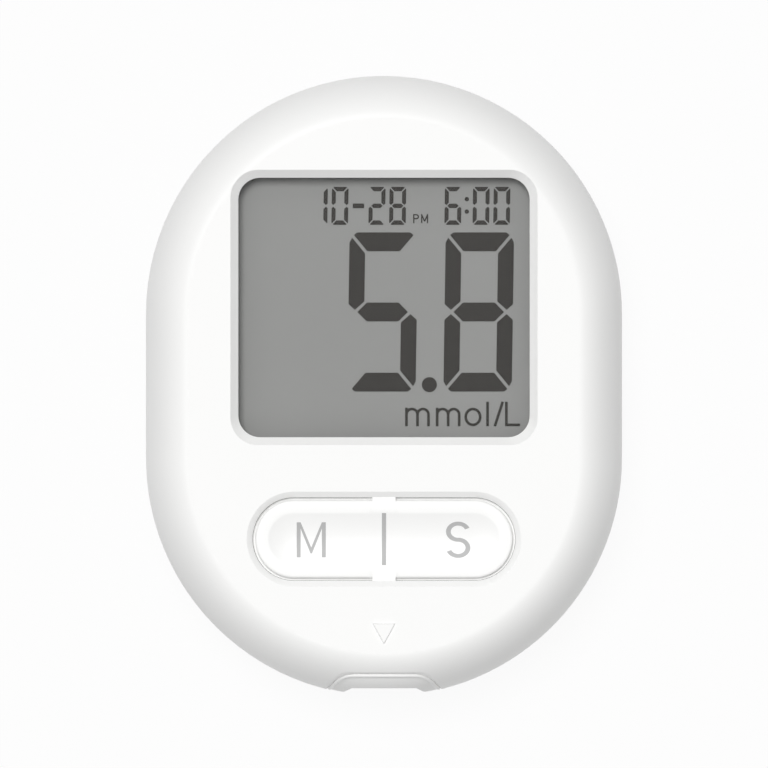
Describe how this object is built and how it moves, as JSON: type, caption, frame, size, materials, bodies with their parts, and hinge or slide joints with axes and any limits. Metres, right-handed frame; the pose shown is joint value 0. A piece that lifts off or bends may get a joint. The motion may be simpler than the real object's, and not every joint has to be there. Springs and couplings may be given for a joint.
{
  "type": "blood glucose meter",
  "caption": "Oval handheld blood glucose meter with a large display, a pill-shaped pair of keys, a test strip port and a battery door",
  "frame": {"origin": "centre of the case's outline on the plane of the flat back", "axes": "+Z out of the display, +Y towards the display's end, the strip port faces -Y, +X to the right seen from the front"},
  "size_m": [0.066, 0.0855, 0.0223],
  "materials": {
    "shell_white": "smooth white, satin gloss",
    "clear_window": "clear, polished",
    "gasket_black": "matt black adhesive foam",
    "frame_white": "matt off-white",
    "reflector_grey": "matt grey film",
    "display_glass": "grey, satin",
    "segment_dark": "dark grey, flat",
    "zebra_rubber": "layered grey and black rubber",
    "board_green": "green solder mask",
    "chip_black": "matt black",
    "bright_metal": "nickel plated",
    "brass": "gold plated or bare brass",
    "switch_grey": "matt dark grey",
    "cell_wrap": "plain dark wrap",
    "screw_steel": "zinc plated"
  },
  "bodies": {
    "case": {"front_cover": "shell_white", "rear_cover": "shell_white", "display_window": "clear_window", "window_gasket": "gasket_black", "lcd_frame": "frame_white", "lcd_reflector": "reflector_grey", "lcd_rear_glass": "display_glass", "lcd_segments": "segment_dark", "lcd_front_glass": "clear_window", "zebra_connectors": "zebra_rubber", "main_board": "board_green", "microcontroller": "chip_black", "memory_chip": "chip_black", "board_crystal": "bright_metal", "buzzer": "brass", "m_switch": "switch_grey", "s_switch": "switch_grey", "key_bridge": "shell_white", "strip_port": "shell_white", "strip_connector": "frame_white", "strip_contacts": "brass", "battery_left": "cell_wrap", "battery_right": "cell_wrap", "battery_springs": "bright_metal", "contact_plus": "bright_metal", "contact_minus": "bright_metal", "contact_link": "bright_metal", "board_screws": "screw_steel", "case_screws": "screw_steel"},
    "m_key": {"m_key": "shell_white"},
    "s_key": {"s_key": "shell_white"},
    "m_plunger": {"m_plunger": "chip_black"},
    "s_plunger": {"s_plunger": "chip_black"},
    "battery_door": {"battery_door": "shell_white"},
    "door_latch": {"door_latch": "shell_white"}
  },
  "joints": [
    {"name": "m_key_press", "type": "hinge", "parent": "case", "child": "m_key", "pos_m": [-0.00166, -0.02125, 0.0208], "axis": [0, -1, 0], "range_deg": [0, 2], "stiffness_Nm_per_rad": 0.02},
    {"name": "s_key_press", "type": "hinge", "parent": "case", "child": "s_key", "pos_m": [0.00166, -0.02125, 0.0208], "axis": [0, 1, 0], "range_deg": [0, 2], "stiffness_Nm_per_rad": 0.02},
    {"name": "m_plunger_press", "type": "slide", "parent": "case", "child": "m_plunger", "axis": [0, 0, -1], "range_m": [0, 0.000298], "stiffness_N_per_m": 4000},
    {"name": "s_plunger_press", "type": "slide", "parent": "case", "child": "s_plunger", "axis": [0, 0, -1], "range_m": [0, 0.000298], "stiffness_N_per_m": 4000},
    {"name": "battery_door_swing", "type": "hinge", "parent": "case", "child": "battery_door", "pos_m": [0, 0.0272, 0.00085], "axis": [1, 0, 0], "range_deg": [0, 95]},
    {"name": "door_latch_flex", "type": "hinge", "parent": "battery_door", "child": "door_latch", "pos_m": [0, -0.02835, 0.00585], "axis": [1, 0, 0], "range_deg": [0, 8], "stiffness_Nm_per_rad": 0.05}
  ],
  "couplings": [
    {"joint": "m_key_press", "follows": "m_plunger_press", "rad_per_m": 117.1},
    {"joint": "s_key_press", "follows": "s_plunger_press", "rad_per_m": 117.1}
  ]
}
